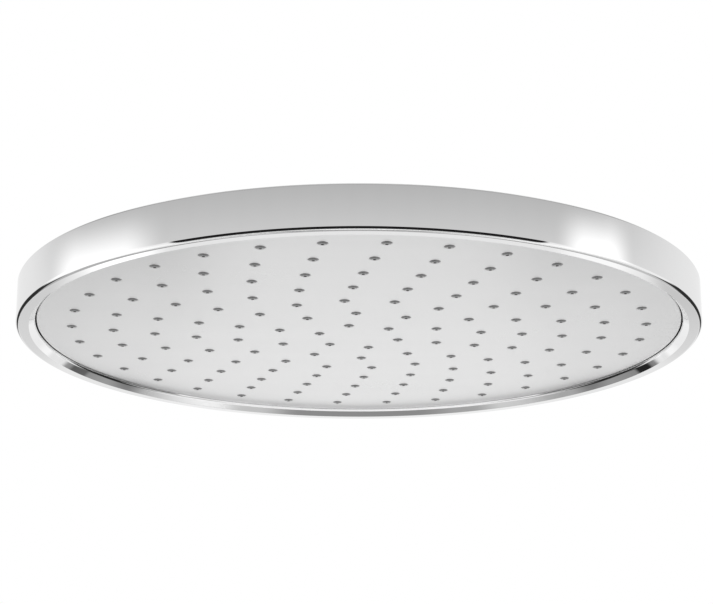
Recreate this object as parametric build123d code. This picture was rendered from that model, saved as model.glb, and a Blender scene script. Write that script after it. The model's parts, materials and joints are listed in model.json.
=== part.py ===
from build123d import *
import math
import os

# Driving dimensions in mm and degrees. Heights run up from the flat rim at the bottom of the head.

# Drum
head_dia = 250.0
drum_height = 15.5
shell_wall = 2.0
rim_round = 1.3
rim_flat = 3.5
rim_bevel = 2.2
lip_height = 4.5
top_rise = 3.5
top_margin = 2.0
top_edge = 0.6

# Spray plate, and the soft mat behind it with its nozzles
plate_gap = 0.4
plate_recess = 1.0
plate_crown = 1.8
plate_edge = 1.5
land_width = 10.0
chamber_depth = 3.0
nozzle_counts = (6, 10, 16, 20, 24, 28, 32)
nozzle_pitch = 15.0
nozzle_start = 16.15
nozzle_dia = 3.8
nozzle_proud = 0.4
nozzle_gap = 0.05
nozzle_sides = 8
jet_dia = 1.1
jet_sides = 6
mat_wall = 1.2
mat_gap = 0.3

# Chamber cover with its seal and screws
cover_wall = 2.2
hub_wall = 2.5
rib_count = 8
rib_wall = 1.8
rib_air = 1.2
seal_width = 2.4
seal_depth = 1.8
seal_gap = 0.1
seal_edge = 1.2
screw_count = 8
screw_dia = 3.0
screw_head_dia = 5.0
screw_head = 1.6
screw_slot = 0.8
screw_grip = 3.6
screw_gap = 0.1

# Inlet stub with its seal, washer and nut
stub_dia = 30.0
stub_bore = 9.0
stub_gap = 0.3
flange_width = 3.5
flange_wall = 2.4
flange_gap = 1.0
stub_seal_wall = 1.6
washer_wall = 1.0
nut_wall = 3.5
nut_rim = 2.95
thread_gap = 0.05

# Ball joint
ball_dia = 20.0
ball_depth = 8.0
water_bore = 7.0
cup_wall = 1.4
cup_low = 38.0
cup_high = 66.0
seat_rise = 0.9
friction_wall = 4.0
run_gap = 0.05
collar_rim = 4.45
collar_lift = 0.3
collar_grip = 5.8
collar_lip = 2.6
collar_face = 4.0
collar_slope = 1.6
tilt_each_way = 10.0
tilt_gap = 0.8
mouth_gap = 0.3
neck_dia = 13.0

# Inlet socket, for a G1/2 male thread, and what it holds
socket_rim = 3.5
socket_flat = 1.5
socket_floor = 1.7
socket_chamfer = 1.2
thread_bore = 18.63
thread_length = 10.0
relief_depth = 0.685
loose_gap = 0.1
inlet_washer_wall = 2.0
inlet_washer_hole = 12.0
screen_wall = 0.8
mesh_count = 5
mesh_pitch = 2.0
mesh_hole = 1.3
regulator_dia = 9.4
regulator_wall = 3.4
regulator_post = 3.0
regulator_rim = 0.9
regulator_floor = 1.0
regulator_slots = 6
regulator_slot = 0.9
regulator_ring_wall = 1.2
regulator_ring_height = 1.5

# Radii and heights that follow
head_r = head_dia / 2
inner_r = head_r - shell_wall
opening_r = head_r - rim_round - rim_flat - rim_bevel
plate_r = opening_r - plate_gap
land_r = plate_r - land_width
ball_r = ball_dia / 2
stub_r = stub_dia / 2
flange_r = stub_r + flange_width
pocket_r = flange_r + flange_gap
hub_r = pocket_r + hub_wall
thread_r = stub_r + thread_gap
nut_r = thread_r + nut_rim
nut_corner_r = nut_r / math.cos(math.pi / 6)
top_land_r = max(hub_r, nut_corner_r) + top_margin
cup_r = ball_r + run_gap + cup_wall
seat_r = cup_r + run_gap

shell_top = drum_height + top_rise
boss_under = shell_top - shell_wall
plate_top = plate_recess + plate_crown + plate_edge
mat_top = plate_top + mat_wall
land_top = plate_top + chamber_depth
cover_top = land_top + cover_wall
hub_ceiling = boss_under - cover_wall
flange_top = hub_ceiling - stub_seal_wall
nut_low = shell_top + washer_wall
collar_low = nut_low + nut_wall + collar_lift
stub_top = collar_low + collar_grip
ball_z = stub_top - seat_rise

friction_low = stub_top + run_gap
friction_top = friction_low + friction_wall
collar_step = friction_top + run_gap
collar_top = collar_step + collar_lip

# The ball joint tilts about X and about Y, so the steepest tilt is the two together
full_tilt = math.acos(math.cos(math.radians(tilt_each_way)) ** 2)
tilt_sin = math.sin(full_tilt)
tilt_cos = math.cos(full_tilt)
collar_rise = collar_top - ball_z
ball_at_step = math.sqrt((ball_r + run_gap) ** 2 - (collar_step - ball_z) ** 2)
neck_sweep = (neck_dia / 2 + mouth_gap + collar_rise * tilt_sin) / tilt_cos
mouth_r = max(neck_sweep, ball_at_step + mouth_gap)
collar_face_r = mouth_r + collar_face

socket_low = ball_z + collar_rise * tilt_cos + collar_face_r * tilt_sin + tilt_gap
socket_base = socket_low + socket_floor
screen_top = socket_base + screen_wall
relief_top = screen_top + inlet_washer_wall
inlet_mouth = relief_top + thread_length

relief_r = thread_bore / 2 + relief_depth
socket_r = relief_r + socket_rim

seal_out_r = land_r + seal_edge + seal_width
screw_circle = (seal_out_r + plate_r) / 2


def turned(*lines):
    """Solid of revolution about Z. The lines close its half section, drawn as (radius, height)."""
    edges = [edge for line in lines for edge in line.edges()]
    return revolve(Plane.XZ * make_face(edges), Axis.Z)


def ring(low, high, hole_r, outer_r):
    """Plain ring between two heights."""
    return turned(Polyline((hole_r, low), (outer_r, low), (outer_r, high), (hole_r, high), close=True))


def disc(low, high, radius):
    """Plain round disc between two heights."""
    return Pos(0, 0, (low + high) / 2) * Cylinder(radius, high - low)


def round_about(count, radius, solid, start=0):
    """Copies of a solid, evenly spaced on a circle about Z."""
    return [spot * solid for spot in PolarLocations(radius, count, start_angle=start)]


def crown_block(height, rise, radius, reach):
    """Block from a crowned face on along Z. The face has this height on the axis and rises by the radius."""
    spots = ((-radius, rise), (0, -rise), (radius, rise))
    patch = [[Vector(x, y, height + x_rise + y_rise) for y, y_rise in spots] for x, x_rise in spots]
    return Solid.extrude(Face.make_bezier_surface(patch), Vector(0, 0, reach))


def dome_height(radius):
    """Height of the drum's domed top, from the land in its middle down to its edge."""
    edge = head_r - top_edge
    return shell_top - top_rise * (radius**2 - top_land_r**2) / (edge**2 - top_land_r**2)


def ball_point(radius, from_bottom):
    """Point of a sphere about the ball's centre, at an angle from straight down."""
    angle = math.radians(from_bottom)
    return radius * math.sin(angle), ball_z - radius * math.cos(angle)


def ball_width(radius, height):
    """Radius at which a sphere about the ball's centre passes a height."""
    return math.sqrt(radius**2 - (height - ball_z) ** 2)


def ball_line(radius, low, high):
    """Arc of a sphere about the ball's centre, between two heights."""
    heights = (low, (low + high) / 2, high)
    return ThreePointArc(*[(ball_width(radius, height), height) for height in heights])


def domed(solid, depth=0):
    """The part of a solid that lies below the drum's domed top, or this deep below it."""
    crown = dome_height(0)
    return solid & crown_block(crown - depth, dome_height(head_r) - crown, head_r, -2 * shell_top)


def outer_shell():
    """Drum with its rim, bevel, inner lip and domed top."""
    rim_r = head_r - rim_round
    slope_r = head_r - top_edge - top_rise
    slant = math.sqrt(0.5)
    rim_arc = ThreePointArc(
        (rim_r, 0), (rim_r + rim_round * slant, rim_round - rim_round * slant), (head_r, rim_round)
    )
    hole_r = stub_r + stub_gap
    drum = turned(
        Polyline((hole_r, rim_bevel), (opening_r, rim_bevel), (opening_r + rim_bevel, 0), (rim_r, 0)),
        rim_arc,
        Polyline((head_r, rim_round), (head_r, drum_height - top_edge), (slope_r, shell_top), (hole_r, shell_top)),
        Line((hole_r, shell_top), (hole_r, rim_bevel)),
    )
    room = domed(disc(lip_height, boss_under, inner_r), shell_wall)
    return domed(drum) - disc(0, lip_height, opening_r) - room


def crown_height(radius):
    """Height of the spray plate's crowned face."""
    return plate_recess + plate_crown * (radius / plate_r) ** 2


def prism(sides, across, low, high):
    """Upright prism with a regular outline."""
    return extrude(Plane.XY.offset(low) * RegularPolygon(across / 2, sides), high - low)


def at_nozzles(shape):
    """What a function makes from the height of the plate's face there, at every nozzle that clears the land."""
    made = []
    for number, count in enumerate(nozzle_counts, 1):
        radius = number * nozzle_pitch
        if radius + nozzle_dia / 2 < land_r - mat_gap:
            made += round_about(count, radius, shape(crown_height(radius)), nozzle_start)
    return made


def face_plate():
    """Crowned spray plate with a hole for each nozzle, the seal groove and the screw holes."""
    hole_dia = nozzle_dia + 2 * nozzle_gap
    holes = at_nozzles(lambda face: prism(nozzle_sides, hole_dia, face - nozzle_proud, plate_top))
    blank = disc(-plate_recess, land_top, plate_r) - disc(plate_top, land_top, land_r)
    plate = blank & crown_block(plate_recess, plate_crown, plate_r, shell_top)
    groove = ring(land_top - seal_depth, land_top, land_r + seal_edge, seal_out_r)
    screw_hole = disc(land_top - screw_grip - screw_gap, land_top, screw_dia / 2 + screw_gap)
    return plate - holes - groove - round_about(screw_count, screw_circle, screw_hole)


def nozzle_mat():
    """Soft sheet on the plate's back, whose nozzles stand through the plate's holes."""
    nozzles = at_nozzles(lambda face: prism(nozzle_sides, nozzle_dia, face - nozzle_proud, mat_top))
    jets = at_nozzles(lambda face: prism(jet_sides, jet_dia, face - 2 * nozzle_proud, mat_top))
    return disc(plate_top, mat_top, land_r - mat_gap) + nozzles - jets


def chamber_seal():
    """Ring that fills the groove up to the cover."""
    return ring(land_top - seal_depth, land_top, land_r + seal_edge + seal_gap, seal_out_r - seal_gap)


def chamber_cover():
    """Back of the water chamber, with a hub that stands against the drum and ribs out to the land."""
    hole_r = stub_r + stub_gap
    cover = turned(
        Polyline(
            (hole_r, hub_ceiling), (pocket_r, hub_ceiling), (pocket_r, land_top), (plate_r, land_top),
            (plate_r, cover_top), (hub_r, cover_top), (hub_r, boss_under), (hole_r, boss_under), close=True,
        )
    )
    rib_top = dome_height(land_r) - shell_wall - rib_air
    rib_length = land_r - pocket_r - hub_wall / 2
    rib = Pos(0, 0, (land_top + rib_top) / 2) * Box(rib_length, rib_wall, rib_top - land_top)
    screw_hole = disc(land_top, cover_top, screw_dia / 2 + screw_gap)
    ribs = round_about(rib_count, land_r - rib_length / 2, rib, 180 / rib_count)
    return cover + ribs - round_about(screw_count, screw_circle, screw_hole)


def cover_screws():
    """Slotted screws that hold the cover on the plate's land."""
    shank = disc(land_top - screw_grip, cover_top, screw_dia / 2)
    head = disc(cover_top, cover_top + screw_head, screw_head_dia / 2)
    slot = Pos(0, 0, cover_top + screw_head) * Box(screw_head_dia, screw_slot, screw_head)
    return Compound(children=round_about(screw_count, screw_circle, shank + head - slot))


def inlet_stub():
    """Threaded stub with the flange that pulls the cover up, and the ball joint's seat in its top."""
    flange_low = flange_top - flange_wall
    bore_r = stub_bore / 2
    seat_low = ball_z - math.sqrt(seat_r**2 - bore_r**2)
    seat = ball_line(seat_r, seat_low, stub_top)
    return turned(
        Polyline((bore_r, seat_low), (bore_r, flange_low), (flange_r, flange_low)),
        Polyline((flange_r, flange_low), (flange_r, flange_top), (stub_r, flange_top)),
        Polyline((stub_r, flange_top), (stub_r, stub_top), seat @ 1),
        seat,
    )


def stub_seal():
    """Flat seal between the stub's flange and the hub."""
    return ring(flange_top, hub_ceiling, thread_r, flange_r)


def shell_washer():
    """Washer between the drum and the lock nut."""
    return ring(shell_top, nut_low, thread_r, nut_r)


def lock_nut():
    """Hex nut on the stub, with both faces chamfered at the corners."""
    nut_high = nut_low + nut_wall
    drop = (nut_corner_r - nut_r) / 2
    blank = turned(
        Polyline(
            (thread_r, nut_low), (nut_r, nut_low), (nut_corner_r, nut_low + drop),
            (nut_corner_r, nut_high - drop), (nut_r, nut_high), (thread_r, nut_high), close=True,
        )
    )
    return blank & prism(6, 2 * nut_corner_r, nut_low, nut_high)


def swivel_collar():
    """Cap nut with a sloped shoulder, whose mouth lets the neck tilt."""
    collar_r = thread_r + collar_rim
    slope_z = collar_top - (collar_r - collar_face_r) / collar_slope
    return turned(
        Polyline(
            (mouth_r, collar_top), (mouth_r, collar_step), (thread_r, collar_step), (thread_r, collar_low),
            (collar_r, collar_low), (collar_r, slope_z), (collar_face_r, collar_top), close=True,
        )
    )


def friction_ring():
    """Ring under the collar's step that the ball turns in."""
    bed = ball_line(ball_r + run_gap, friction_low, friction_top)
    return turned(bed, Polyline(bed @ 0, (stub_r, friction_low), (stub_r, friction_top), bed @ 1))


def ball_cup():
    """Seat liner between the ball and the stub, round on both faces."""
    bed_r = ball_r + run_gap
    angles = (cup_low, (cup_low + cup_high) / 2, cup_high)
    inside = ThreePointArc(*[ball_point(bed_r, angle) for angle in angles])
    outside = ThreePointArc(*[ball_point(cup_r, angle) for angle in angles])
    return turned(inside, outside, Line(inside @ 0, outside @ 0), Line(inside @ 1, outside @ 1))


def swivel_ball():
    """Ball, neck and inlet socket turned in one, with two wrench flats."""
    bore_r = water_bore / 2
    neck_r = neck_dia / 2
    bed_r = regulator_dia / 2 + loose_gap
    bed_low = socket_base - regulator_wall
    ball_low = ball_z - ball_depth
    ball_high = ball_z + math.sqrt(ball_r**2 - neck_r**2)
    surface = ball_line(ball_r, ball_low, ball_high)
    body = turned(
        surface,
        Polyline(surface @ 1, (neck_r, socket_low), (socket_r - socket_chamfer, socket_low)),
        Polyline((socket_r - socket_chamfer, socket_low), (socket_r, socket_low + socket_chamfer)),
        Polyline((socket_r, socket_low + socket_chamfer), (socket_r, inlet_mouth), (thread_bore / 2, inlet_mouth)),
        Polyline((thread_bore / 2, inlet_mouth), (thread_bore / 2, relief_top), (relief_r, relief_top)),
        Polyline((relief_r, relief_top), (relief_r, socket_base), (bed_r, socket_base)),
        Polyline((bed_r, socket_base), (bed_r, bed_low), (bore_r, bed_low), (bore_r, ball_low)),
        Line((bore_r, ball_low), surface @ 0),
    )
    middle = (relief_top + inlet_mouth) / 2
    between = Pos(0, 0, middle) * Box(4 * socket_r, 2 * (socket_r - socket_flat), thread_length)
    return body - (disc(relief_top, inlet_mouth, 2 * socket_r) - between)


def filter_screen():
    """Disc with a square mesh in its middle."""
    screen = disc(socket_base, screen_top, relief_r - loose_gap)
    middle = (socket_base + screen_top) / 2
    hole = Pos(0, 0, middle) * Box(mesh_hole, mesh_hole, screen_wall)
    return screen - [spot * hole for spot in GridLocations(mesh_pitch, mesh_pitch, mesh_count, mesh_count)]


def inlet_washer():
    """Flat washer that the water pipe's end presses on."""
    return ring(screen_top, relief_top, inlet_washer_hole / 2, relief_r - loose_gap)


def flow_regulator():
    """Flow limiter: a cup with a middle post and slots in its floor."""
    low = socket_base - regulator_wall
    cup_r = regulator_dia / 2
    channel_r = cup_r - regulator_rim
    post_r = regulator_post / 2
    body = disc(low, socket_base, cup_r) - ring(low + regulator_floor, socket_base, post_r, channel_r)
    slot = disc(low, low + regulator_floor, regulator_slot / 2)
    return body - round_about(regulator_slots, (post_r + channel_r) / 2, slot)


def regulator_ring():
    """Rubber ring on the floor of the flow limiter's channel."""
    low = socket_base - regulator_wall + regulator_floor
    hole_r = regulator_post / 2 + loose_gap
    return ring(low, low + regulator_ring_height, hole_r, hole_r + regulator_ring_wall)


makers = (
    outer_shell, face_plate, nozzle_mat, chamber_seal, chamber_cover, cover_screws, inlet_stub, stub_seal,
    shell_washer, lock_nut, swivel_collar, friction_ring, ball_cup, swivel_ball, filter_screen, inlet_washer,
    flow_regulator, regulator_ring,
)

# The origin is the middle of the inlet's mouth, so every piece moves down by the mouth's height
os.makedirs("parts", exist_ok=True)
for maker in makers:
    export_step(Pos(0, 0, -inlet_mouth) * maker(), f"parts/{maker.__name__}.step")
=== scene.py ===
"""Looks and stage of a rain shower head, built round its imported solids. Lengths are in metres."""

import json
import math

import bmesh
import bpy
from bpy.props import FloatProperty, FloatVectorProperty, IntProperty, PointerProperty
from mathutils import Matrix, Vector


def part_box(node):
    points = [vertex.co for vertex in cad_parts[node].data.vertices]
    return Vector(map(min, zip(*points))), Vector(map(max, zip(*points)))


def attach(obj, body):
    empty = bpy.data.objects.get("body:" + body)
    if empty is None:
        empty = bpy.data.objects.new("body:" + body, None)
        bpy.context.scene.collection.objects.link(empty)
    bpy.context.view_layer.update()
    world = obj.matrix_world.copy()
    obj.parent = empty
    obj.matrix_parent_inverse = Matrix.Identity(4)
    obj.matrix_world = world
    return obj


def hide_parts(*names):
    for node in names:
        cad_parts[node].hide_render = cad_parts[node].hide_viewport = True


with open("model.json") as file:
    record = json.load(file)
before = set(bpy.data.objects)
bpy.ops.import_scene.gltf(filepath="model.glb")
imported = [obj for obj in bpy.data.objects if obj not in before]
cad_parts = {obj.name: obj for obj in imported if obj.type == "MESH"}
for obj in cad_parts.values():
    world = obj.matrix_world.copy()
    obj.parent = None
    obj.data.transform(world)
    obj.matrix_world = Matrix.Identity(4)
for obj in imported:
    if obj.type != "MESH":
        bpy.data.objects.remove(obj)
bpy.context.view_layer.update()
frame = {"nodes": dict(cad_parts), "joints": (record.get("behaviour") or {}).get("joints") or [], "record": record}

bl_info = {
    "name": "Rain shower head",
    "version": (1, 0, 0),
    "blender": (4, 5, 0),
    "location": "3D View > Sidebar > Shower head",
    "description": "Builds the finished pieces, the finishes and the stage of a rain shower head",
    "category": "Object",
}

MM = 0.001
# A radius below the first lies on the axis, and values that differ by less than the second are equal
ON_AXIS = 1e-7
CLOSE = 1e-6
# Places of the colour sockets of a Mix node
MIX_FIRST = 6
MIX_SECOND = 7
MIX_RESULT = 2
NOZZLE_COUNTS = (6, 10, 16, 20, 24, 28, 32)
RING_INPUTS = {
    "Shape": "Object",
    "Pitch": "Float",
    "Start": "Float",
    "Middle": "Float",
    "Crown": "Float",
    "Plate radius": "Float",
    "Finish": "Material",
}

shell_low, shell_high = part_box("outer_shell")
nut_low, nut_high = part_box("lock_nut")
collar_low, collar_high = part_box("swivel_collar")
plate_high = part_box("face_plate")[1]
mat_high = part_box("nozzle_mat")[1]
swivel_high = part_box("swivel_ball")[1]
washer_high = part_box("inlet_washer")[1]
screen_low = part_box("filter_screen")[0]
rim_z = shell_low.z
ball_z = frame["joints"][0]["pos_m"][2]


def length(name, description, millimetres):
    """A size that a user may change, given in millimetres and kept in metres."""
    return FloatProperty(
        name=name, description=description, default=millimetres * MM, unit="LENGTH", precision=5
    )


def degrees(name, description, value):
    """An angle that a user may change, given in degrees and kept in radians."""
    return FloatProperty(name=name, description=description, default=math.radians(value), subtype="ANGLE")


def position(name, description, spot):
    """A place that a user may change, in metres."""
    return FloatVectorProperty(name=name, description=description, default=spot, subtype="XYZ", unit="LENGTH")


def count(name, description, steps, least):
    """A number of steps that a user may change."""
    return IntProperty(name=name, description=description, default=steps, min=least, subtype="UNSIGNED")


def colour(name, description, shade):
    """A finish colour that a user may change."""
    return FloatVectorProperty(
        name=name, description=description, default=shade, subtype="COLOR", size=3, min=0, max=1
    )


def amount(name, description, value, **meaning):
    """A number that a user may change, with its unit or its subtype."""
    return FloatProperty(name=name, description=description, default=value, **meaning)


class DrumSizes(bpy.types.PropertyGroup):
    """Sizes of the drum."""

    radius: length("Radius", "Outside of the drum's wall", shell_high.x / MM)
    wall: length("Wall", "Thickness of the drum's wall and top", 2.0)
    wall_height: length("Wall height", "From the flat rim up to the edge of the domed top", 15.5)
    rim_round: length("Rim round", "Rounding between the wall and the flat rim", 1.3)
    rim_flat: length("Rim flat", "Width of the flat rim", 3.5)
    rim_bevel: length("Rim bevel", "Width and depth of the bevel into the opening", 2.2)
    bevel_round: length("Bevel round", "Rounding at the top of the bevel", 1.6)
    rim_edge: length("Rim edge", "Rounding between the flat rim and the bevel", 0.15)
    hole_edge: length("Hole edge", "Rounding of the hole's edge", 0.3)
    lip: length("Lip height", "From the flat rim up to the top of the inner lip", 4.5)
    top_edge: length("Top edge", "Rounding between the wall and the domed top", 0.6)
    land: length("Land radius", "Flat land in the middle of the domed top", 24.0)
    hole: length("Hole radius", "Hole for the inlet stub", 15.3)
    steps: count("Steps", "Steps round the drum", 256, 32)


class PlateSizes(bpy.types.PropertyGroup):
    """Sizes of the spray plate."""

    radius: length("Radius", "Outside of the spray plate", plate_high.x / MM)
    recess: length("Recess", "From the flat rim up to the middle of the plate", 1.0)
    crown: length("Crown", "How far the plate's edge stands above its middle", 1.8)
    edge: length("Edge", "Thickness of the plate at its edge", 1.5)
    edge_round: length("Edge round", "Rounding of the plate's edge", 0.3)
    land: length("Land width", "Width of the land that carries the cover", 10.0)
    groove: length("Groove width", "Width of the groove for the seal", 2.4)
    groove_depth: length("Groove depth", "Depth of that groove", 1.8)
    groove_edge: length("Groove edge", "From the land's inner edge to that groove", 1.2)
    steps: count("Steps", "Steps round the plate", 256, 32)


class NozzleSizes(bpy.types.PropertyGroup):
    """Sizes of the soft mat behind the plate and of its nozzles."""

    mat_wall: length("Mat", "Thickness of the mat", 1.2)
    pitch: length("Pitch", "Distance between two rings of nozzles", 15.0)
    start: degrees("Start angle", "Where every ring starts", 16.15)
    width: length("Width", "Diameter of a nozzle where it leaves the plate", 3.8)
    tip: length("Tip", "Diameter of a nozzle's end", 2.66)
    gap: length("Gap", "Room between a nozzle and its hole in the plate", 0.05)
    proud: length("Proud", "How far a nozzle stands out of the plate", 0.4)
    edge: length("Edge", "Rounding of a nozzle's end", 0.06)
    jet: length("Jet", "Diameter of a nozzle's jet", 1.15)
    jet_depth: length("Jet depth", "Depth of the jet that can be seen", 2.0)
    sides: count("Sides", "Steps round a nozzle", 16, 6)


class SwivelSizes(bpy.types.PropertyGroup):
    """Sizes of the ball joint and its nut on top of the drum."""

    thread: length("Stub thread", "Radius of the holes in nut and collar", 15.05)
    mouth: length("Mouth", "Radius of the collar's mouth", 9.018)
    face: length("Face", "Outer radius of the collar's top face", 13.018)
    lip: length("Lip", "Thickness of the collar's top", 2.6)
    slope: amount("Slope", "Run of the collar's shoulder for each unit of height", 1.6, subtype="FACTOR")
    nut_edge: length("Nut edge", "Rounding of the lock nut's edges", 0.15)
    edge_round: length("Edge round", "Rounding of turned edges", 0.35)
    ball: length("Ball", "Radius of the ball", 10.0)
    ball_depth: length("Ball depth", "From the ball's centre down to its cut", 8.0)
    neck: length("Neck", "Radius of the neck", 6.5)
    fillet: length("Fillet", "Rounding between neck and socket", 0.8)
    bore: length("Bore", "Radius of the water bore", 3.5)
    bed: length("Bed", "Radius of the flow limiter's bed", 4.8)
    bed_depth: length("Bed depth", "Depth of that bed", 3.4)
    relief: length("Relief", "Radius of the room for screen and washer", 10.0)
    floor: length("Floor", "Thickness of the floor under the screen", 1.7)
    chamfer: length("Chamfer", "Chamfer under the socket", 1.2)
    flat: length("Flat", "From the axis to each wrench flat", 12.0)
    thread_pitch: length("Thread pitch", "Pitch of the inlet thread", 1.814)
    thread_minor: length("Thread minor", "Radius of the inlet thread's crests", 9.315)
    thread_major: length("Thread major", "Radius of the inlet thread's roots", 10.4775)
    steps: count("Steps", "Steps round the turned pieces", 144, 24)


class FinishColours(bpy.types.PropertyGroup):
    """Colours of the finishes."""

    chrome: colour("Chrome", "Polished chrome", (0.86, 0.86, 0.862))
    satin: colour("Satin plate", "Satin chrome of the spray plate", (0.78, 0.78, 0.78))
    silicone: colour("Silicone", "Soft nozzle mat", (0.1, 0.1, 0.1))
    # The jets' colour is painted shade: it darkens the inside of each hole, where shade falls.
    jet: colour("Jet", "Inside of the jets", (0.03, 0.03, 0.03))
    brass: colour("Brass", "Turned brass", (0.75, 0.58, 0.30))
    steel: colour("Steel", "Screws", (0.60, 0.60, 0.61))
    grey_plastic: colour("Grey plastic", "Chamber cover", (0.33, 0.34, 0.35))
    white_plastic: colour("White plastic", "Bearing rings and screen", (0.85, 0.85, 0.83))
    green_plastic: colour("Green plastic", "Flow limiter", (0.20, 0.50, 0.32))
    rubber: colour("Rubber", "Seals and washers", (0.03, 0.03, 0.03))


class StageSettings(bpy.types.PropertyGroup):
    """Camera, floor and light."""

    camera_place: position("Camera place", "Where the camera stands", (0, -0.7310, -0.2615))
    camera_lift: degrees("Camera lift", "How far the camera looks up", 16.849)
    camera_turn: degrees("Camera turn", "How far the camera looks to the left", 0.068)
    film: amount("Film", "Width of the film", 36.0, unit="CAMERA")
    lens: amount("Lens", "Focal length for that film", 104.13, unit="CAMERA")
    floor_drop: length("Floor drop", "From the inlet down to the floor", 1600)
    floor_colour: colour("Floor", "Pale floor", (0.9, 0.9, 0.9))
    floor_reach: length("Floor reach", "From the middle of the floor to its sides", 60000)
    floor_start: length("Floor start", "How far past its nearest point the floor starts to turn white", 200)
    floor_end: length("Floor end", "Distance from the inlet where the floor is white", 5000)
    soft_level: amount("Soft light", "Level of the soft light from all round", 0.85, subtype="FACTOR")
    key_power: amount("Key light", "Power of the lamp above", 60.0, unit="POWER")
    key_size: length("Key size", "Width of that lamp", 1600)
    key_place: position("Key place", "Where that lamp hangs", (-0.8, -1.0, 2.2))


class ShowerHead(bpy.types.PropertyGroup):
    """Everything about the shower head that a user would change."""

    drum: PointerProperty(type=DrumSizes)
    plate: PointerProperty(type=PlateSizes)
    nozzles: PointerProperty(type=NozzleSizes)
    swivel: PointerProperty(type=SwivelSizes)
    colours: PointerProperty(type=FinishColours)
    stage: PointerProperty(type=StageSettings)


# Node trees


class Wire:
    """A socket that can be used in sums. Each sum adds a Math node to its tree."""

    def __init__(self, tree, socket):
        self.tree = tree
        self.socket = socket

    def sum(self, operation, left, right):
        """Adds a Math node for one operation on two values."""
        node = self.tree.nodes.new("ShaderNodeMath")
        node.operation = operation
        for slot, value in zip(node.inputs, (left, right)):
            join(self.tree, value, slot)
        return Wire(self.tree, node.outputs[0])

    def __add__(self, other):
        return self.sum("ADD", self, other)

    def __radd__(self, other):
        return self.sum("ADD", other, self)

    def __sub__(self, other):
        return self.sum("SUBTRACT", self, other)

    def __rsub__(self, other):
        return self.sum("SUBTRACT", other, self)

    def __mul__(self, other):
        return self.sum("MULTIPLY", self, other)

    def __rmul__(self, other):
        return self.sum("MULTIPLY", other, self)

    def __truediv__(self, other):
        return self.sum("DIVIDE", self, other)

    def __rtruediv__(self, other):
        return self.sum("DIVIDE", other, self)

    def __pow__(self, other):
        return self.sum("POWER", self, other)

    def __rpow__(self, other):
        return self.sum("POWER", other, self)


def join(tree, value, slot):
    """Links a wire to an input, or sets a plain value on it."""
    if isinstance(value, Wire):
        tree.links.new(value.socket, slot)
    else:
        slot.default_value = value


class Bench:
    """A node tree that is being wired."""

    def __init__(self, tree):
        self.tree = tree

    def node(self, kind, sockets=None, out=0, **settings):
        """Adds a node with its settings, then its sockets' values or links, and gives one of its outputs."""
        made = self.tree.nodes.new(kind)
        for key, value in settings.items():
            setattr(made, key, value)
        for key, value in (sockets or {}).items():
            for item in value if isinstance(value, list) else [value]:
                join(self.tree, item, made.inputs[key])
        return Wire(self.tree, made.outputs[out]) if made.outputs else made


def grey_ramp(bench, share, stops, interpolation="LINEAR"):
    """Grey level that runs through (place, level) stops while a share runs from 0 to 1."""
    level = bench.node("ShaderNodeValToRGB", {"Fac": share})
    ramp = level.socket.node.color_ramp
    ramp.interpolation = interpolation
    while len(ramp.elements) < len(stops):
        ramp.elements.new(0.5)
    for element, (place, grey) in zip(ramp.elements, stops):
        element.position = place
        element.color = (grey, grey, grey, 1)
    return level


def finish_bench(name):
    """An empty material and the bench to wire it on."""
    material = bpy.data.materials.new(name)
    material.use_nodes = True
    material.node_tree.nodes.clear()
    return material, Bench(material.node_tree)


def coat(bench, bump=None, bump_strength=0.1, bump_distance=0.1 * MM, **sockets):
    """Ends a finish in a Principled shader. Socket names have underscores for spaces."""
    values = {key.replace("_", " ").title().replace("Ior", "IOR"): value for key, value in sockets.items()}
    if bump is not None:
        values["Normal"] = bench.node(
            "ShaderNodeBump", {"Height": bump, "Strength": bump_strength, "Distance": bump_distance}
        )
    shader = bench.node("ShaderNodeBsdfPrincipled", values)
    bench.node("ShaderNodeOutputMaterial", {"Surface": shader})


def noise(bench, place, scale, detail=2.0):
    """Soft noise between 0 and 1."""
    return bench.node("ShaderNodeTexNoise", {"Vector": place, "Scale": scale, "Detail": detail})


def stretched(bench, place, stretch):
    """Coordinates stretched along the axes."""
    return bench.node("ShaderNodeMapping", {"Vector": place, "Scale": stretch})


def shades(bench, factor, dark, light):
    """A colour between two shades."""
    return bench.node(
        "ShaderNodeMix",
        {"Factor": factor, MIX_FIRST: (*dark, 1), MIX_SECOND: (*light, 1)},
        out=MIX_RESULT,
        data_type="RGBA",
    )


def show_mix(bench, share, first, second):
    """Ends a finish in a mix of two shaders. At a share of 1 only the second shows."""
    mixed = bench.node("ShaderNodeMixShader", {0: share, 1: first, 2: second})
    bench.node("ShaderNodeOutputMaterial", {"Surface": mixed})


def scaled(shade, factor):
    """A colour made lighter or darker."""
    return tuple(min(1.0, part * factor) for part in shade)


# Finishes


def object_place(bench):
    """Place on the piece, in the frame's own metres."""
    return bench.node("ShaderNodeTexCoord", out="Object")


def polished_chrome(name, shade):
    """Chrome plate: mirror bright, with a faint haze and the slight swell of a moulded base."""
    material, bench = finish_bench(name)
    place = object_place(bench)
    haze = noise(bench, place, scale=35.0, detail=4.0)
    swell = noise(bench, place, scale=60.0, detail=1.0)
    coat(
        bench,
        base_color=shades(bench, haze, scaled(shade, 0.97), shade),
        metallic=1.0,
        roughness=0.025 + haze * 0.03,
        bump=swell,
        bump_strength=0.02,
    )
    return material


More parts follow.
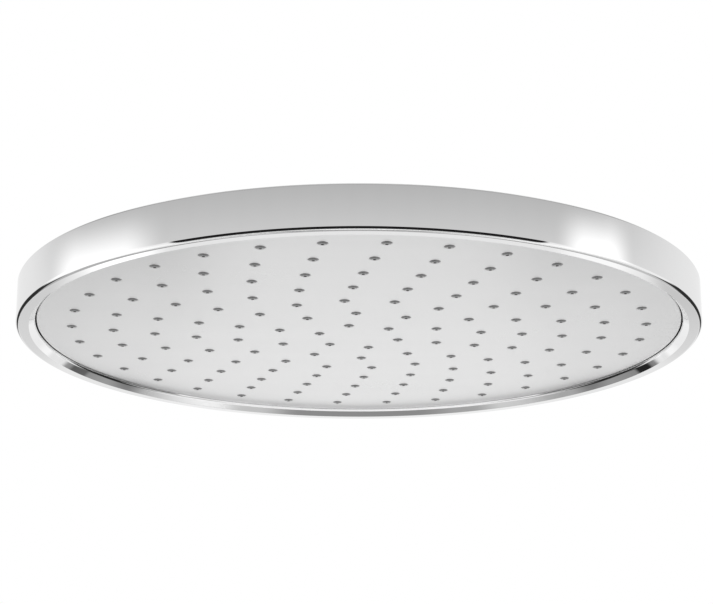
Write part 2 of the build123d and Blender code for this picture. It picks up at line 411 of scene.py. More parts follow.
def satin_chrome(name, shade):
    """Satin chrome plate: a fine even grain that blurs what it mirrors, with faint clouds and streaks."""
    material, bench = finish_bench(name)
    place = object_place(bench)
    cloud = noise(bench, place, scale=22.0, detail=3.0)
    streak = noise(bench, stretched(bench, place, (5.0, 70.0, 5.0)), scale=1.0, detail=3.0)
    grain = noise(bench, stretched(bench, place, (1.0, 6.0, 1.0)), scale=900.0, detail=2.0)
    coat(
        bench,
        base_color=shades(bench, cloud * 0.5 + streak * 0.5, scaled(shade, 0.95), scaled(shade, 1.05)),
        metallic=0.78,
        roughness=0.24 + cloud * 0.05 + grain * 0.05,
        bump=grain,
        bump_strength=0.06,
        bump_distance=0.05 * MM,
    )
    return material


def soft_silicone(name, shade):
    """Soft silicone with a smooth skin and a pale sheen."""
    material, bench = finish_bench(name)
    place = object_place(bench)
    cloud = noise(bench, place, scale=300.0, detail=2.0)
    grain = noise(bench, place, scale=2500.0, detail=2.0)
    coat(
        bench,
        base_color=shades(bench, cloud, scaled(shade, 0.85), scaled(shade, 1.15)),
        roughness=0.3 + cloud * 0.05,
        ior=1.6,
        sheen_weight=1.0,
        sheen_roughness=0.4,
        coat_weight=1.0,
        coat_roughness=0.3,
        bump=grain,
        bump_strength=0.05,
        bump_distance=0.02 * MM,
    )
    return material


def jet_painted_shade(name, shade):
    """Inside of a jet: painted shade, a dark colour that stands for the shade deep in the hole, with faint specks,
    a little wet.
    """
    material, bench = finish_bench(name)
    speck = noise(bench, object_place(bench), scale=1500.0)
    coat(bench, base_color=shades(bench, speck, scaled(shade, 0.6), shade), roughness=0.4 + speck * 0.2)
    return material


def turned_metal(name, shade, roughness):
    """Turned metal with fine rings from the tool."""
    material, bench = finish_bench(name)
    place = object_place(bench)
    rings = bench.node(
        "ShaderNodeTexWave",
        {"Vector": place, "Scale": 900.0, "Distortion": 0.6},
        wave_type="BANDS",
        bands_direction="Z",
    )
    cloud = noise(bench, place, scale=120.0, detail=3.0)
    coat(
        bench,
        base_color=shades(bench, cloud, scaled(shade, 0.86), scaled(shade, 1.04)),
        metallic=1.0,
        roughness=roughness + cloud * 0.08 + rings * 0.05,
        bump=rings,
        bump_strength=0.1,
        bump_distance=0.02 * MM,
    )
    return material


def moulded_plastic(name, shade):
    """Moulded plastic with a fine matt grain."""
    material, bench = finish_bench(name)
    place = object_place(bench)
    grain = noise(bench, place, scale=1400.0, detail=2.0)
    cloud = noise(bench, place, scale=40.0, detail=2.0)
    coat(
        bench,
        base_color=shades(bench, cloud, scaled(shade, 0.94), scaled(shade, 1.03)),
        roughness=0.42 + grain * 0.12,
        bump=grain,
        bump_strength=0.15,
        bump_distance=0.03 * MM,
    )
    return material


def soft_rubber(name, shade):
    """Matt rubber with a dusty bloom."""
    material, bench = finish_bench(name)
    place = object_place(bench)
    bloom = noise(bench, place, scale=180.0, detail=4.0)
    grain = noise(bench, place, scale=2200.0, detail=2.0)
    coat(
        bench,
        base_color=shades(bench, bloom, scaled(shade, 0.8), scaled(shade, 1.9)),
        roughness=0.7 + bloom * 0.15,
        bump=grain,
        bump_strength=0.2,
        bump_distance=0.03 * MM,
    )
    return material


def finishes(colours):
    """Every finish by name, made once. All but the jets' have the names of the record's material slots."""
    makers = {
        "chrome": (polished_chrome, colours.chrome),
        "satin_plate": (satin_chrome, colours.satin),
        "silicone": (soft_silicone, colours.silicone),
        # The jets' finish is painted shade inside the holes, not a colour of the silicone itself.
        "jet": (jet_painted_shade, colours.jet),
        "brass": (turned_metal, colours.brass, 0.22),
        "steel": (turned_metal, colours.steel, 0.3),
        "grey_plastic": (moulded_plastic, colours.grey_plastic),
        "white_plastic": (moulded_plastic, colours.white_plastic),
        "green_plastic": (moulded_plastic, colours.green_plastic),
        "rubber": (soft_rubber, colours.rubber),
    }
    made = {}
    for slot, (maker, shade, *rest) in makers.items():
        name = "shower_" + slot
        made[slot] = bpy.data.materials.get(name) or maker(name, tuple(shade), *rest)
    return made


# Turned meshes


def rounded(corners, hold=0.05 * MM, steps=6):
    """Half section through (radius, height, rounding) corners. An arc stands between two holding points."""
    spots = [Vector(corner[:2]) for corner in corners]
    points = []
    for number, corner in enumerate(corners):
        here = spots[number]
        if not corner[2]:
            points.append(here)
            continue
        back = (spots[number - 1] - here).normalized()
        onward = (spots[(number + 1) % len(spots)] - here).normalized()
        half = back.angle(onward) / 2
        reach = corner[2] / math.tan(half)
        middle = here + (back + onward).normalized() * (corner[2] / math.sin(half))
        first = here + back * reach - middle
        last = here + onward * reach - middle
        arc = [first.lerp(last, step / steps).normalized() * corner[2] for step in range(steps + 1)]
        points.append(middle + first + back * hold)
        points += [middle + spoke for spoke in arc]
        points.append(middle + last + onward * hold)
    return points


def curve(steps, start, end, height):
    """Corners along a curved part of a half section, both ends included."""
    radii = [start + (end - start) * step / steps for step in range(steps + 1)]
    return [(radius, height(radius), 0) for radius in radii]


def turned_mesh(name, section, steps, shape=None):
    """Closed mesh turned about Z from a half section. A shape may move a point by its angle."""
    places = []
    rows = []
    for radius, height in section:
        if radius < ON_AXIS:
            rows.append([len(places)] * steps)
            places.append((0, 0, height))
            continue
        rows.append(list(range(len(places), len(places) + steps)))
        for step in range(steps):
            angle = 2 * math.pi * step / steps
            r, z = shape(radius, height, angle) if shape else (radius, height)
            places.append((r * math.cos(angle), r * math.sin(angle), z))
    faces = []
    for number, row in enumerate(rows):
        above = rows[(number + 1) % len(rows)]
        flat = section[number][1] == section[(number + 1) % len(rows)][1]
        poles = {len(set(row)), len(set(above))}
        if flat and poles == {1, steps}:
            faces.append(row if len(set(row)) > 1 else above)
            continue
        for step in range(steps):
            onward = (step + 1) % steps
            corners = list(dict.fromkeys((row[step], row[onward], above[onward], above[step])))
            if len(corners) > 2:
                faces.append(corners)
    mesh = bpy.data.meshes.new(name)
    mesh.from_pydata(places, [], faces)
    outward(mesh)
    smooth(mesh)
    return mesh


def smooth(mesh, sharp=50):
    """Smooth shading, with a crease at edges sharper than this many degrees."""
    mesh.shade_smooth()
    mesh.set_sharp_from_angle(angle=math.radians(sharp))


def outward(mesh):
    """Turns every face of a closed mesh outwards."""
    work = bmesh.new()
    work.from_mesh(mesh)
    bmesh.ops.recalc_face_normals(work, faces=work.faces)
    work.to_mesh(mesh)
    work.free()


def piece(mesh, body, slot, *nodes):
    """Adds a finished piece that rides on a body and stands for these nodes."""
    made = bpy.data.objects.new(mesh.name, mesh)
    bpy.context.scene.collection.objects.link(made)
    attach(made, body)
    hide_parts(*nodes)
    return made


# Pieces


class SHOWER_OT_drum(bpy.types.Operator):
    """Turn the chromed drum"""

    bl_idname = "shower.drum"
    bl_label = "Drum"

    def execute(self, context):
        head = context.scene.shower_head
        size = head.drum
        top = shell_high.z
        edge = size.radius - size.top_edge
        rise = top - rim_z - size.wall_height
        spread = edge**2 - size.land**2

        def dome(radius):
            return top - rise * max(0, radius**2 - size.land**2) / spread

        opening = size.radius - size.rim_round - size.rim_flat - size.rim_bevel
        inner = size.radius - size.wall
        lip = rim_z + size.lip
        outside_steps = 24
        inside_steps = 12
        edge_room = 2.5
        dome_edge = size.radius - edge_room * size.top_edge
        corners = [
            (opening + size.rim_bevel, rim_z, size.rim_edge),
            (size.radius, rim_z, size.rim_round),
            (size.radius, dome(edge), size.top_edge),
            *curve(outside_steps, dome_edge, size.land, dome),
            (size.hole, top, size.hole_edge),
            (size.hole, top - size.wall, 0),
            *curve(inside_steps, size.land, inner, lambda radius: dome(radius) - size.wall),
            (inner, lip, 0),
            (opening, lip, 0),
            (opening, rim_z + size.rim_bevel, size.bevel_round),
        ]
        mesh = turned_mesh("drum", rounded(corners, steps=10), size.steps)
        mesh.materials.append(finishes(head.colours)["chrome"])
        piece(mesh, "head", "chrome", "outer_shell")
        return {"FINISHED"}


class SHOWER_OT_spray_plate(bpy.types.Operator):
    """Turn the crowned spray plate and cut its holes"""

    bl_idname = "shower.spray_plate"
    bl_label = "Spray plate"

    def execute(self, context):
        head = context.scene.shower_head
        size = head.plate
        middle = rim_z + size.recess

        def crown(radius):
            return middle + size.crown * (radius / size.radius) ** 2

        back = crown(size.radius) + size.edge
        land = size.radius - size.land
        land_top = plate_high.z
        groove = land + size.groove_edge
        groove_low = land_top - size.groove_depth
        crown_steps = 40
        corners = [
            *curve(crown_steps, 0, size.radius - 2 * size.edge_round, crown),
            (size.radius, crown(size.radius), size.edge_round),
            (size.radius, land_top, 0),
            (groove + size.groove, land_top, 0),
            (groove + size.groove, groove_low, 0),
            (groove, groove_low, 0),
            (groove, land_top, 0),
            (land, land_top, 0),
            (land, back, 0),
            (0, back, 0),
        ]
        blank = turned_mesh("plate_blank", rounded(corners), size.steps)
        hole = head.nozzles.width / 2 + head.nozzles.gap
        section = [(hole, -size.edge), (hole, back - rim_z), (0, back - rim_z), (0, -size.edge)]
        cutter = turned_mesh("hole", section, head.nozzles.sides)
        mesh = grown("spray_plate", blank, nozzle_holes(), cutter, ring_inputs(head, "satin_plate"))
        smooth(mesh)
        piece(mesh, "head", "satin_plate", "face_plate")
        return {"FINISHED"}


class SHOWER_OT_nozzle_mat(bpy.types.Operator):
    """Turn the soft mat and set its rings of nozzles"""

    bl_idname = "shower.nozzle_mat"
    bl_label = "Nozzle mat"

    def execute(self, context):
        head = context.scene.shower_head
        size = head.nozzles
        low = mat_high.z - size.mat_wall
        section = [(0, low), (mat_high.x, low), (mat_high.x, mat_high.z), (0, mat_high.z)]
        blank = turned_mesh("mat_blank", section, head.plate.steps)
        inputs = ring_inputs(head, "silicone")
        inputs["Root height"] = low + size.mat_wall / 2
        # The jets get painted shade, a dark colour for the shade inside each hole.
        inputs["Jet finish"] = finishes(head.colours)["jet"]
        mesh = grown("soft_nozzles", blank, nozzle_field(), nozzle_mesh(size), inputs)
        for name in ("root", "jet"):
            mesh.attributes.remove(mesh.attributes[name])
        piece(mesh, "head", "silicone", "nozzle_mat")
        return {"FINISHED"}


def nozzle_mesh(size):
    """One nozzle with its end at the bottom and its jet. The plate's face lies at height 0."""
    side = size.width / 2
    tip = size.tip / 2
    jet = size.jet / 2
    end = -size.proud
    jet_top = end + size.jet_depth
    root = jet_top + size.edge
    section = [
        (side, root),
        (side, 0),
        (tip + size.edge, end + size.edge),
        (tip - size.edge, end),
        (jet, end),
        (jet, jet_top),
        (0, jet_top),
        (0, root),
    ]
    mesh = turned_mesh("nozzle", section, size.sides)
    at_root = mesh.attributes.new("root", "BOOLEAN", "POINT")
    for point in mesh.vertices:
        at_root.data[point.index].value = point.co.z > jet_top + size.edge / 2
    in_jet = mesh.attributes.new("jet", "BOOLEAN", "FACE")
    for face in mesh.polygons:
        spread = max(math.hypot(*mesh.vertices[corner].co[:2]) for corner in face.vertices)
        in_jet.data[face.index].value = spread < (jet + side) / 2 and face.center.z < root
    return mesh


def ring_inputs(head, finish):
    """Inputs of the trees that follow the rings of nozzles."""
    return {
        "Pitch": head.nozzles.pitch,
        "Start": head.nozzles.start,
        "Middle": rim_z + head.plate.recess,
        "Crown": head.plate.crown,
        "Plate radius": head.plate.radius,
        "Finish": finishes(head.colours)[finish],
    }


def new_tree(name, inputs):
    """A tree that makes a piece from a blank, as its bench and its inputs by name."""
    tree = bpy.data.node_groups.new(name, "GeometryNodeTree")
    tree.interface.new_socket("Blank", in_out="INPUT", socket_type="NodeSocketGeometry")
    for label, kind in inputs.items():
        tree.interface.new_socket(label, in_out="INPUT", socket_type="NodeSocket" + kind)
    tree.interface.new_socket("Piece", in_out="OUTPUT", socket_type="NodeSocketGeometry")
    given = tree.nodes.new("NodeGroupInput")
    return Bench(tree), {socket.name: Wire(tree, socket) for socket in given.outputs if socket.name}


def set_in_rings(bench, want):
    """Copies of a shape at every nozzle, in rings on the plate's crowned face."""
    turn = bench.node("ShaderNodeCombineXYZ", {"Z": want["Start"]})
    rings = []
    for number, nozzles in enumerate(NOZZLE_COUNTS, 1):
        radius = want["Pitch"] * number
        ring = bench.node("GeometryNodeMeshCircle", {"Vertices": nozzles, "Radius": radius})
        height = want["Middle"] + want["Crown"] * (radius / want["Plate radius"]) ** 2
        lift = bench.node("ShaderNodeCombineXYZ", {"Z": height})
        placing = {"Geometry": ring, "Translation": lift, "Rotation": turn}
        rings.append(bench.node("GeometryNodeTransform", placing))
    spots = bench.node("GeometryNodeJoinGeometry", {"Geometry": rings})
    shape = bench.node("GeometryNodeObjectInfo", {"Object": want["Shape"]}, out="Geometry")
    return bench.node("GeometryNodeInstanceOnPoints", {"Points": spots, "Instance": shape})


def nozzle_holes():
    """Tree that cuts a hole for every nozzle into the plate."""
    bench, want = new_tree("Nozzle holes", RING_INPUTS)
    cutters = bench.node("GeometryNodeRealizeInstances", {"Geometry": set_in_rings(bench, want)})
    holed = bench.node(
        "GeometryNodeMeshBoolean",
        {"Mesh 1": want["Blank"], "Mesh 2": cutters},
        operation="DIFFERENCE",
        solver="MANIFOLD",
    )
    real = bench.node("GeometryNodeRealizeInstances", {"Geometry": holed})
    done = bench.node("GeometryNodeSetMaterial", {"Geometry": real, "Material": want["Finish"]})
    bench.node("NodeGroupOutput", {"Piece": done})
    return bench.tree


def nozzle_field():
    """Tree that sets the nozzles on the mat, each with its root in the mat."""
    bench, want = new_tree("Nozzle field", {**RING_INPUTS, "Root height": "Float", "Jet finish": "Material"})
    field = bench.node("GeometryNodeRealizeInstances", {"Geometry": set_in_rings(bench, want)})
    at_root = bench.node("GeometryNodeInputNamedAttribute", {"Name": "root"}, data_type="BOOLEAN")
    place = bench.node("GeometryNodeInputPosition")
    axes = {axis: bench.node("ShaderNodeSeparateXYZ", {"Vector": place}, out=axis) for axis in "XY"}
    rooted = bench.node("ShaderNodeCombineXYZ", {**axes, "Z": want["Root height"]})
    field = bench.node(
        "GeometryNodeSetPosition", {"Geometry": field, "Selection": at_root, "Position": rooted}
    )
    both = bench.node("GeometryNodeJoinGeometry", {"Geometry": [want["Blank"], field]})
    real = bench.node("GeometryNodeRealizeInstances", {"Geometry": both})
    done = bench.node("GeometryNodeSetMaterial", {"Geometry": real, "Material": want["Finish"]})
    # The jets' faces get painted shade: a dark colour for the shade inside each hole.
    in_jet = bench.node("GeometryNodeInputNamedAttribute", {"Name": "jet"}, data_type="BOOLEAN")
    done = bench.node(
        "GeometryNodeSetMaterial", {"Geometry": done, "Selection": in_jet, "Material": want["Jet finish"]}
    )
    bench.node("NodeGroupOutput", {"Piece": done})
    return bench.tree


def grown(name, blank, tree, shape, inputs):
    """The plain mesh that a tree makes from a blank and from the shape that it repeats."""
    work = bpy.data.objects.new(name, blank)
    repeated = bpy.data.objects.new(shape.name, shape)
    for made in (work, repeated):
        bpy.context.scene.collection.objects.link(made)
    modifier = work.modifiers.new("Tree", "NODES")
    modifier.node_group = tree
    inputs["Shape"] = repeated
    for socket in tree.interface.items_tree:
        if socket.in_out == "INPUT" and socket.name in inputs:
            modifier[socket.identifier] = inputs[socket.name]
    graph = bpy.context.evaluated_depsgraph_get()
    mesh = bpy.data.meshes.new_from_object(
        work.evaluated_get(graph), preserve_all_data_layers=True, depsgraph=graph
    )
    mesh.name = name
    for made in (work, repeated):
        bpy.data.objects.remove(made)
    return mesh


class SHOWER_OT_swivel(bpy.types.Operator):
    """Turn the ball with its threaded socket, the collar and the lock nut"""

    bl_idname = "shower.swivel"
    bl_label = "Swivel"

    def execute(self, context):
        head = context.scene.shower_head
        chrome = finishes(head.colours)["chrome"]
        for mesh, body, node in (
            (ball_mesh(head.swivel), "inlet", "swivel_ball"),
            (collar_mesh(head.swivel), "head", "swivel_collar"),
            (nut_mesh(head.swivel), "head", "lock_nut"),
        ):
            mesh.materials.append(chrome)
            piece(mesh, body, "chrome", node)
        return {"FINISHED"}


def collar_mesh(size):
    """Cap nut with a sloped shoulder."""
    outer = collar_high.x
    low = collar_low.z
    top = collar_high.z
    shoulder = top - (outer - size.face) / size.slope
    edge = size.edge_round
    corners = [
        (size.thread, low, 0),
        (outer, low, edge),
        (outer, shoulder, 2 * edge),
        (size.face, top, 2 * edge),
        (size.mouth, top, edge),
        (size.mouth, top - size.lip, 0),
        (size.thread, top - size.lip, 0),
    ]
    return turned_mesh("swivel_nut", rounded(corners), size.steps)


def nut_mesh(size):
    """Hex nut whose corners are chamfered on both faces."""
    flat = nut_high.y
    corner = flat / math.cos(math.pi / 6)
    low = nut_low.z
    high = nut_high.z
    middle = (low + high) / 2
    drop = (corner - flat) / 2

    def hexed(radius, height, angle):
        if radius <= flat:
            return radius, height
        turn = angle % (math.pi / 3) - math.pi / 6
        reach = flat / math.cos(turn)
        share = (reach - flat) / (corner - flat)
        side = 1 if height > middle else -1
        return reach, middle + side * ((high - low) / 2 - drop * share)

    section = [(size.thread, low), (flat, low), (corner, low + drop), (corner, high - drop), (flat, high)]
    mesh = turned_mesh("hex_nut", [*section, (size.thread, high)], size.steps, hexed)
    return bevelled(mesh, size.nut_edge)


def bevelled(mesh, width, sharp=25, segments=2):
    """A mesh with its edges rounded off where they are sharper than this many degrees."""
    work = bpy.data.objects.new(mesh.name, mesh)
    bpy.context.scene.collection.objects.link(work)
    bevel = work.modifiers.new("Edges", "BEVEL")
    bevel.width = width
    bevel.segments = segments
    bevel.limit_method = "ANGLE"
    bevel.angle_limit = math.radians(sharp)
    graph = bpy.context.evaluated_depsgraph_get()
    made = bpy.data.meshes.new_from_object(work.evaluated_get(graph), depsgraph=graph)
    made.name = mesh.name
    bpy.data.objects.remove(work)
    smooth(made, sharp=40)
    return made


def ball_mesh(size):
    """Ball, neck and socket with its wrench flats and inlet thread."""
    mouth = swivel_high.z
    socket_low = screen_low.z - size.floor
    thread_low = washer_high.z
    outer = swivel_high.x
    edge = size.edge_round
    rows_per_turn = 12
    flank = 1.4
    crest = 0.2
    flats_step = 0.01 * MM

    def flats_and_thread(radius, height, angle):
        if radius > size.flat and height > thread_low - CLOSE:
            side = abs(math.sin(angle))
            return min(radius, size.flat / side if side > CLOSE else radius), height
        if height > thread_low + CLOSE and radius < size.thread_major + CLOSE:
            turn = (height / size.thread_pitch - angle / (2 * math.pi)) % 1
            ridge = abs(2 * turn - 1)
            depth = min(1, max(0, ridge * flank - crest))
            cut = size.thread_minor + (size.thread_major - size.thread_minor) * depth
            return max(cut, size.thread_major - (mouth - height)), height
        return radius, height

    ball_steps = 28
    low_angle = math.asin(size.ball_depth / size.ball)
    high_angle = math.acos(size.neck / size.ball)
    ball = []
    for step in range(ball_steps + 1):
        angle = -low_angle + (high_angle + low_angle) * step / ball_steps
        ball.append((size.ball * math.cos(angle), ball_z + size.ball * math.sin(angle), 0))
    thread_rows = int(rows_per_turn * (mouth - thread_low) / size.thread_pitch)
    thread = []
    for row in range(thread_rows, -1, -1):
        thread.append((size.thread_minor, thread_low + (mouth - thread_low) * row / thread_rows, 0))
    corners = [
        (size.bore, ball_z - size.ball_depth, 0),
        *ball,
        (size.neck, socket_low, size.fillet),
        (outer - size.chamfer, socket_low, edge),
        (outer, socket_low + size.chamfer, edge),
        (outer, thread_low - flats_step, 0),
        (outer, thread_low, 0),
        (outer, mouth, edge),
        *thread,
        (size.relief, thread_low, 0),
        (size.relief, screen_low.z, 0),
        (size.bed, screen_low.z, 0),
        (size.bed, screen_low.z - size.bed_depth, 0),
        (size.bore, screen_low.z - size.bed_depth, 0),
    ]
    return turned_mesh("swivel_inlet", rounded(corners), size.steps, flats_and_thread)


class SHOWER_OT_inner_pieces(bpy.types.Operator):
    """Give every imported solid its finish, which shows where no finished piece stands for it"""

    bl_idname = "shower.inner_pieces"
    bl_label = "Inner pieces"

    def execute(self, context):
        made = finishes(context.scene.shower_head.colours)
        for row in frame["record"]["subparts"]:
            solid = frame["nodes"][row["node"]]
            solid.data.materials.clear()
            solid.data.materials.append(made[row["material_slot"]])
        return {"FINISHED"}


# Stage


def plain_mesh(name, places, faces):
    """A stage object that isn't part of the shower head."""
    mesh = bpy.data.meshes.new(name)
    mesh.from_pydata(places, [], faces)
    made = bpy.data.objects.new(name, mesh)
    bpy.context.scene.collection.objects.link(made)
    return made


def reflector(name, distance, azimuths, elevations, tones, soft):
    """Curved card that only reflections show. Azimuth 0 lies behind the head, 180 towards the camera."""
    across = 32
    up = 24
    places = []
    spots = []
    for row in range(up + 1):
        lift = math.radians(elevations[0] + (elevations[1] - elevations[0]) * row / up)
        for column in range(across + 1):
            turn = math.radians(azimuths[0] + (azimuths[1] - azimuths[0]) * column / across)
            flat = distance * math.cos(lift)
            places.append((flat * math.sin(turn), flat * math.cos(turn), rim_z + distance * math.sin(lift)))
            spots.append((column / across, row / up))
    faces = []
    for row in range(up):
        for column in range(across):
            first = row * (across + 1) + column
            faces.append((first, first + 1, first + across + 2, first + across + 1))
    made = plain_mesh(name, places, faces)
    layer = made.data.uv_layers.new(name="UVMap")
    for loop in made.data.loops:
        layer.data[loop.index].uv = spots[loop.vertex_index]
    material, bench = finish_bench(name)
    width = azimuths[1] - azimuths[0]
    height = elevations[1] - elevations[0]
    spot = bench.node("ShaderNodeUVMap")
    run, rise = (bench.node("ShaderNodeSeparateXYZ", {"Vector": spot}, out=axis) for axis in "XY")
    brightest = max(tone for elevation, tone in tones)
    stops = [((elevation - elevations[0]) / height, tone / brightest) for elevation, tone in tones]
    tone = grey_ramp(bench, rise, stops)
    glow = bench.node("ShaderNodeEmission", {"Color": tone, "Strength": brightest})
    clear = bench.node("ShaderNodeBsdfTransparent")
    sides = fade(bench, run, soft[0] / width, soft[1] / width)
    shown = sides * fade(bench, rise, soft[2] / height, soft[3] / height)
    show_mix(bench, shown, clear, glow)
    made.data.materials.append(material)
    for ray in ("camera", "diffuse", "transmission", "volume_scatter", "shadow"):
        setattr(made, "visible_" + ray, False)


def fade(bench, share, first, last):
    """1 in the middle of a card, falling to 0 at its two ends over these shares of it."""
    stops = [(0, 0 if first else 1), (first, 1), (1 - last, 1), (1, 0 if last else 1)]
    return grey_ramp(bench, share, stops, "EASE")


# Each card has its distance in metres, azimuths, elevations and tones by elevation, with angles in degrees.
# Last comes over how many degrees its first side, its other side, its foot and its top fade out.
CARDS = (
    ("ceiling", 1.6, (-180, 180), (24, 90), (
        (24, 0.95), (34, 0.7), (44, 0.36), (50, 0.9), (57, 0.95),
        (66, 0.4), (78, 0.55), (84, 0.95), (90, 1.0),
    ), (0, 0, 14, 0)),
    ("side_right", 1.55, (14, 96), (2, 40), ((2, 0.91), (40, 0.84)), (12, 12, 4, 14)),
    ("side_left", 1.55, (264, 346), (2, 40), ((2, 0.91), (40, 0.84)), (12, 12, 4, 14)),
    ("grey_screen", 1.5, (46, 318), (3, 60), (
        (3, 0.79), (16.6, 0.756), (19.2, 0.516), (24, 0.41), (60, 0.36),
    ), (64, 44, 2, 20)),
    ("softbox_right", 1.45, (83, 118), (-74, 18.8), (
        (-74, 0.75), (-40, 1.2), (18.8, 1.45),
    ), (13, 13, 10, 2.1)),
    ("softbox_left", 1.45, (241, 298), (-74, 18.7), (
        (-74, 0.55), (-40, 1.2), (18.7, 1.45),
    ), (18, 18, 10, 2.5)),
    ("black_front", 0.135, (148, 212), (-9.5, 1.7), (
        (-9.5, 0.3), (-6, 0.03), (1.7, 0.004),
    ), (1.5, 1.5, 5, 0.45)),
    ("grey_low_right", 1.42, (66, 150), (-84, -62), ((-84, 0.6), (-62, 0.64)), (14, 14, 2, 6)),
    ("grey_low_left", 1.42, (210, 294), (-84, -62), ((-84, 0.4), (-62, 0.44)), (14, 14, 2, 6)),
    ("black_right", 0.42, (30, 78), (-50, 2), ((-50, 0.024), (2, 0.012)), (10, 8, 8, 8)),
    ("black_left", 0.42, (282, 330), (-50, 2), ((-50, 0.024), (2, 0.012)), (8, 10, 8, 8)),
    ("pale_right", 0.2, (46, 108), (-54, -19), ((-54, 0.6), (-19, 0.6)), (6, 10, 6, 4)),
    ("pale_left", 0.2, (252, 314), (-54, -19), ((-54, 0.5), (-19, 0.5)), (10, 6, 6, 4)),
    ("line_right", 0.205, (56, 92), (-26, 1), ((-26, 0.03), (1, 0.03)), (4, 6, 3, 6)),
    ("line_left", 0.205, (268, 304), (-26, 1), ((-26, 0.03), (1, 0.03)), (6, 4, 3, 6)),
    ("white_far", 0.5, (-31, 31), (-44, 4), ((-44, 0.9), (4, 0.9)), (9, 9, 10, 3)),
    ("bright_far", 0.465, (-17, 17), (-21.2, 6), (
        (-21.2, 1.1), (-17, 1.06), (-14, 0.96), (6, 0.98),
    ), (5, 5, 2.4, 4)),
    ("glare_right", 0.47, (14.5, 22.5), (-24, -18.5), ((-24, 1.1), (-18.5, 1.1)), (3, 3, 2, 1.5)),
    ("glare_left", 0.47, (337.5, 345.5), (-24, -18.5), ((-24, 1.3), (-18.5, 1.3)), (3, 3, 2, 1.5)),
    ("shade_right", 0.46, (22, 31), (-21, -12), ((-21, 0.62), (-17, 0.64), (-14, 0.76)), (2, 3, 2, 2)),
    ("shade_left", 0.46, (329, 338), (-21, -12), ((-21, 0.7), (-17, 0.7), (-14, 0.76)), (3, 2, 2, 2)),
    ("dark_right", 0.45, (12, 40), (-46, -25.5), (
        (-46, 0.44), (-34.5, 0.32), (-33.5, 0.14), (-29.5, 0.12), (-28.5, 0.3), (-25.5, 0.36),
    ), (5, 6, 5, 2)),
    ("dark_left", 0.45, (320, 348), (-46, -24), (
        (-46, 0.4), (-32.5, 0.28), (-31.5, 0.02), (-28, 0.02), (-27, 0.24), (-24, 0.3),
    ), (6, 5, 5, 2)),
    ("grey_far", 0.48, (-66, 58), (-74, -34), ((-74, 0.44), (-34, 0.44)), (20, 20, 6, 8)),
    ("grey_below", 0.5, (-180, 180), (-90, -72), ((-90, 0.3), (-72, 0.3)), (0, 0, 0, 8)),
)


class SHOWER_OT_stage(bpy.types.Operator):
    """Set up the camera, the pale floor, the soft light and the reflector cards"""

    bl_idname = "shower.stage"
    bl_label = "Stage"

    def execute(self, context):
        scene = context.scene
        size = scene.shower_head.stage
        scene.view_settings.view_transform = "Standard"
        set_camera(scene, size)
        set_floor(size)
        set_soft_light(scene, size)
        set_key_light(scene, size)
        for card in CARDS:
            reflector(*card)
        return {"FINISHED"}


def set_camera(scene, size):
    """Camera at the photo's viewing angle."""
    lens = bpy.data.cameras.new("camera")
    lens.lens = size.lens
    lens.sensor_width = size.film
    camera = bpy.data.objects.new("camera", lens)
    camera.location = size.camera_place
    camera.rotation_euler = (math.pi / 2 + size.camera_lift, 0, size.camera_turn)
    scene.collection.objects.link(camera)
    scene.camera = camera


def seen(bench):
    """1 for the camera's rays and for reflections, and 0 for the light on a surface."""
    camera = bench.node("ShaderNodeLightPath", out="Is Camera Ray")
    glossy = bench.node("ShaderNodeLightPath", out="Is Glossy Ray")
    through = bench.node("ShaderNodeLightPath", out="Is Transmission Ray")
    return bench.node("ShaderNodeClamp", {"Value": camera + glossy + through})


def set_floor(size):
    """Plain pale floor far below the head, which runs out into the white background."""
    reach = size.floor_reach
    places = [(-reach, -reach), (reach, -reach), (reach, reach), (-reach, reach)]
    floor = plain_mesh("floor", [(x, y, -size.floor_drop) for x, y in places], [(0, 1, 2, 3)])
    material, bench = finish_bench("pale_floor")
    place = object_place(bench)
    cloud = noise(bench, place, scale=1.5, detail=3.0)
    shade = tuple(size.floor_colour)
    tint = shades(bench, cloud, scaled(shade, 0.99), shade)
    paint = bench.node("ShaderNodeBsdfPrincipled", {"Base Color": tint, "Roughness": 0.9})
    white = bench.node("ShaderNodeEmission", {"Color": (1, 1, 1, 1), "Strength": 1.0})
    away = bench.node("ShaderNodeVectorMath", {"Vector": place}, out="Value", operation="LENGTH")
    spread = bench.node(
        "ShaderNodeMapRange",
        {"Value": away, "From Min": size.floor_drop + size.floor_start, "From Max": size.floor_end},
        interpolation_type="SMOOTHSTEP",
    )
    show_mix(bench, spread * seen(bench), paint, white)
    floor.data.materials.append(material)


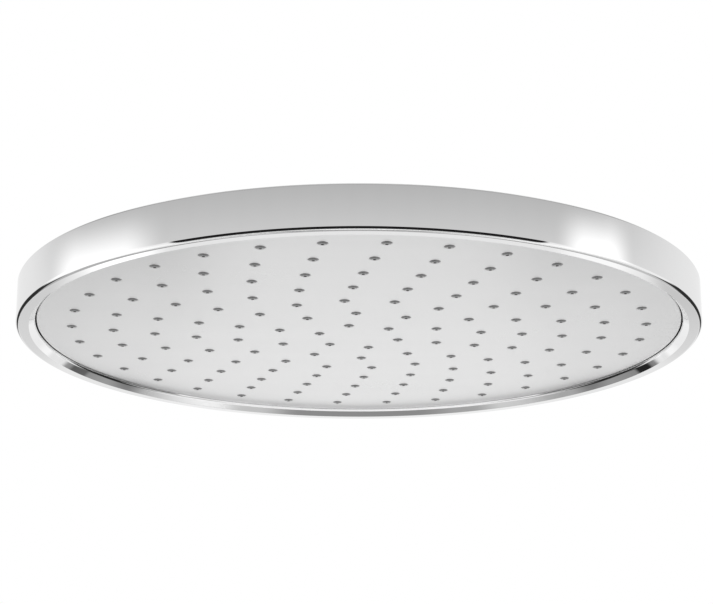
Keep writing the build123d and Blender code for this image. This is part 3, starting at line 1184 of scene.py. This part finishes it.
def set_soft_light(scene, size):
    """Light from all round, which the camera and the reflections see as white."""
    world = bpy.data.worlds.new("soft_light")
    world.use_nodes = True
    world.node_tree.nodes.clear()
    bench = Bench(world.node_tree)
    level = size.soft_level + (1 - size.soft_level) * seen(bench)
    sky = bench.node("ShaderNodeBackground", {"Color": (1, 1, 1, 1), "Strength": level})
    bench.node("ShaderNodeOutputWorld", {"Surface": sky})
    scene.world = world


def set_key_light(scene, size):
    """One large soft lamp above and in front, which gives the floor its shadow."""
    lamp = bpy.data.lights.new("key_light", "AREA")
    lamp.energy = size.key_power
    lamp.size = size.key_size
    light = bpy.data.objects.new("key_light", lamp)
    light.location = size.key_place
    light.rotation_euler = (-light.location).to_track_quat("-Z", "Y").to_euler()
    light.visible_glossy = False
    light.visible_camera = False
    scene.collection.objects.link(light)


class SHOWER_PT_panel(bpy.types.Panel):
    """Panel in the sidebar that lists the pieces"""

    bl_idname = "SHOWER_PT_panel"
    bl_label = "Shower head"
    bl_space_type = "VIEW_3D"
    bl_region_type = "UI"
    bl_category = "Shower head"

    def draw(self, context):
        column = self.layout.column(align=True)
        for operator in operators:
            column.operator(operator.bl_idname)


groups = (DrumSizes, PlateSizes, NozzleSizes, SwivelSizes, FinishColours, StageSettings, ShowerHead)
operators = (
    SHOWER_OT_drum, SHOWER_OT_spray_plate, SHOWER_OT_nozzle_mat, SHOWER_OT_swivel, SHOWER_OT_inner_pieces,
    SHOWER_OT_stage,
)
classes = (*groups, *operators, SHOWER_PT_panel)


def register():
    """Registers the classes and gives the scene the shower head's settings."""
    for made in classes:
        bpy.utils.register_class(made)
    bpy.types.Scene.shower_head = PointerProperty(type=ShowerHead)


def unregister():
    """Takes the settings and the classes away again."""
    del bpy.types.Scene.shower_head
    for made in reversed(classes):
        bpy.utils.unregister_class(made)


def main():
    """Builds the pieces in order."""
    register()
    bpy.ops.shower.drum()
    bpy.ops.shower.spray_plate()
    bpy.ops.shower.nozzle_mat()
    bpy.ops.shower.swivel()
    bpy.ops.shower.inner_pieces()
    bpy.ops.shower.stage()


if __name__ == "__main__":
    main()
